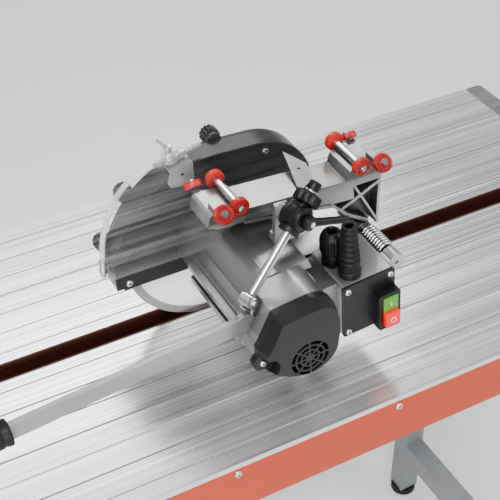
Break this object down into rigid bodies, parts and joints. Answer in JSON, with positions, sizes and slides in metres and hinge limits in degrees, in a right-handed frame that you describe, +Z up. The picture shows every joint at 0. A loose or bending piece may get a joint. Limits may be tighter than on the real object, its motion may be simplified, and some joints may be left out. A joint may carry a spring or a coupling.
{
  "type": "panel saw",
  "caption": "Rail-guided panel saw: a motor head with blade, guard and water feed rolls on a beam over a slotted aluminium table.",
  "frame": {"origin": "on the floor under the middle of the table", "axes": "+X along the cutting slot and the guide beam, to the operator's right; +Y from the operator to the rear; +Z up"},
  "size_m": [1.472, 0.4562, 1.06],
  "materials": {
    "deck_aluminium": "extruded, fine lengthwise grain",
    "slot_brown": "satin dark brown",
    "rail_orange": "satin orange-red",
    "screw_steel": "bright",
    "cap_grey": "moulded",
    "frame_grey": "powder coat",
    "tray_steel": "rolled sheet",
    "rubber_black": "matt",
    "beam_aluminium": "anodised, drawn see-through",
    "cast_aluminium": "machined and cast",
    "wheel_red": "hard red tyre",
    "bright_steel": "polished",
    "black_plastic": "moulded, fine grain",
    "motor_grey": "satin extrusion",
    "handle_grey": "satin",
    "cover_dark": "moulded, fine grain",
    "box_silver": "satin cast",
    "button_green": "moulded",
    "button_red": "moulded",
    "copper": "varnished winding",
    "bearing_steel": "ground",
    "blade_white": "bright disc, grey rim",
    "guard_grey": "satin dark grey",
    "valve_chrome": "polished",
    "bracket_white": "satin",
    "hose_clear": "milky"
  },
  "bodies": {
    "table": {"deck_front": "deck_aluminium", "deck_rear": "deck_aluminium", "slot_channel": "slot_brown", "side_rails": "rail_orange", "rail_screws": "screw_steel", "end_caps": "cap_grey", "water_tray": "tray_steel", "leg_frames": "frame_grey", "feet": "rubber_black", "beam_posts": "frame_grey", "guide_beam": "beam_aluminium"},
    "carriage": {"carriage_casting": "cast_aluminium", "pivot_pin": "bright_steel", "tilt_axles": "bright_steel", "plunge_spring": "bright_steel", "guide_plate": "bright_steel", "clamp_bracket": "cast_aluminium"},
    "axle_left": {"axle_left": "bright_steel", "axle_wheels_left": "wheel_red"},
    "axle_right": {"axle_right": "bright_steel", "axle_wheels_right": "wheel_red"},
    "tilt_wheel_left_front": {"tilt_wheel_left_front": "wheel_red"},
    "tilt_wheel_left_rear": {"tilt_wheel_left_rear": "wheel_red"},
    "tilt_wheel_right_front": {"tilt_wheel_right_front": "wheel_red"},
    "tilt_wheel_right_rear": {"tilt_wheel_right_rear": "wheel_red"},
    "clamp": {"clamp_body": "black_plastic"},
    "clamp_knob": {"clamp_knob": "black_plastic"},
    "clamp_lever": {"clamp_lever": "black_plastic"},
    "rod": {"depth_rod": "bright_steel", "rod_cap": "black_plastic"},
    "head": {"motor_housing": "motor_grey", "fan_cover": "cover_dark", "stator": "copper", "motor_bearings": "bearing_steel", "switch_box": "box_silver", "box_cover": "cover_dark", "switch_bezel": "black_plastic", "cable_gland": "black_plastic", "strain_boot": "rubber_black", "motor_screws": "screw_steel", "rod_fork": "bright_steel", "pull_handle": "handle_grey", "handle_grip": "rubber_black", "guard_shell": "guard_grey", "guard_cover": "guard_grey", "guard_screws": "screw_steel", "valve_body": "valve_chrome", "valve_bracket": "bracket_white", "water_hose": "hose_clear", "hose_nozzle": "bright_steel"},
    "spindle": {"rotor": "bearing_steel", "cooling_fan": "black_plastic", "blade": "blade_white", "blade_flanges": "bearing_steel"},
    "start_button": {"start_button": "button_green"},
    "stop_button": {"stop_button": "button_red"},
    "guard_knob_1": {"guard_knob_1": "black_plastic"},
    "guard_knob_2": {"guard_knob_2": "black_plastic"},
    "guard_knob_3": {"guard_knob_3": "black_plastic"},
    "valve_lever": {"valve_lever": "valve_chrome"}
  },
  "joints": [
    {"name": "carriage_slide", "type": "slide", "parent": "table", "child": "carriage", "axis": [1, 0, 0], "range_m": [-0.5, 0.3]},
    {"name": "plunge", "type": "hinge", "parent": "carriage", "child": "head", "pos_m": [0.321, -0.1, 0.924], "axis": [0, 1, 0], "range_deg": [0, 5]},
    {"name": "spindle_spin", "type": "hinge", "parent": "head", "child": "spindle", "pos_m": [0.181, -0.1, 0.908], "axis": [0, 1, 0], "continuous": true},
    {"name": "axle_left_roll", "type": "hinge", "parent": "carriage", "child": "axle_left", "pos_m": [0.1675, -0.066, 1.015], "axis": [0, 1, 0], "continuous": true},
    {"name": "axle_right_roll", "type": "hinge", "parent": "carriage", "child": "axle_right", "pos_m": [0.306, -0.066, 1.015], "axis": [0, 1, 0], "continuous": true},
    {"name": "tilt_left_front_roll", "type": "hinge", "parent": "carriage", "child": "tilt_wheel_left_front", "pos_m": [0.1469, -0.099, 1.017], "axis": [0, -0.7071, 0.7071], "continuous": true},
    {"name": "tilt_left_rear_roll", "type": "hinge", "parent": "carriage", "child": "tilt_wheel_left_rear", "pos_m": [0.1469, -0.033, 1.01], "axis": [0, 0.7071, 0.7071], "continuous": true},
    {"name": "tilt_right_front_roll", "type": "hinge", "parent": "carriage", "child": "tilt_wheel_right_front", "pos_m": [0.3266, -0.099, 1.017], "axis": [0, -0.7071, 0.7071], "continuous": true},
    {"name": "tilt_right_rear_roll", "type": "hinge", "parent": "carriage", "child": "tilt_wheel_right_rear", "pos_m": [0.3266, -0.033, 1.01], "axis": [0, 0.7071, 0.7071], "continuous": true},
    {"name": "clamp_swivel", "type": "hinge", "parent": "carriage", "child": "clamp", "pos_m": [0.20198, -0.14125, 1.02359], "axis": [-0.4485, 0.8852, 0.1234], "range_deg": [0, 7.21]},
    {"name": "rod_swing", "type": "hinge", "parent": "head", "child": "rod", "pos_m": [0.1373, -0.166, 0.966], "axis": [-0.6624, 0.5517, 0.5068], "range_deg": [0, 3.31]},
    {"name": "clamp_knob_turn", "type": "hinge", "parent": "clamp", "child": "clamp_knob", "pos_m": [0.20198, -0.14125, 1.02359], "axis": [0.7181, 0.2747, 0.6394], "continuous": true},
    {"name": "clamp_lever_turn", "type": "hinge", "parent": "clamp", "child": "clamp_lever", "pos_m": [0.20198, -0.14125, 1.02359], "axis": [-0.3574, 0.934, 0], "range_deg": [-40, 0]},
    {"name": "valve_turn", "type": "hinge", "parent": "head", "child": "valve_lever", "pos_m": [0.137, -0.003, 1.028], "axis": [-0.1908, 0, 0.9816], "range_deg": [0, 90]},
    {"name": "guard_knob_1_turn", "type": "hinge", "parent": "head", "child": "guard_knob_1", "pos_m": [0.19323, 0.02, 1.02236], "axis": [0, 1, 0], "continuous": true},
    {"name": "guard_knob_2_turn", "type": "hinge", "parent": "head", "child": "guard_knob_2", "pos_m": [0.09405, 0.02, 0.98429], "axis": [0, 1, 0], "continuous": true},
    {"name": "guard_knob_3_turn", "type": "hinge", "parent": "head", "child": "guard_knob_3", "pos_m": [0.06656, 0.02, 0.93033], "axis": [0, 1, 0], "continuous": true},
    {"name": "start_press", "type": "slide", "parent": "head", "child": "start_button", "axis": [0, 1, 0], "range_m": [0, 0.0025], "stiffness_N_per_m": 400},
    {"name": "stop_press", "type": "slide", "parent": "head", "child": "stop_button", "axis": [0, 1, 0], "range_m": [0, 0.0025], "stiffness_N_per_m": 400}
  ],
  "couplings": [
    {"joint": "axle_left_roll", "follows": "carriage_slide", "rad_per_m": 100},
    {"joint": "axle_right_roll", "follows": "carriage_slide", "rad_per_m": 100},
    {"joint": "tilt_left_front_roll", "follows": "carriage_slide", "rad_per_m": -100},
    {"joint": "tilt_left_rear_roll", "follows": "carriage_slide", "rad_per_m": 100},
    {"joint": "tilt_right_front_roll", "follows": "carriage_slide", "rad_per_m": -100},
    {"joint": "tilt_right_rear_roll", "follows": "carriage_slide", "rad_per_m": 100},
    {"joint": "clamp_swivel", "follows": "plunge", "ratio": 1.4409},
    {"joint": "rod_swing", "follows": "plunge", "ratio": 0.66049}
  ]
}
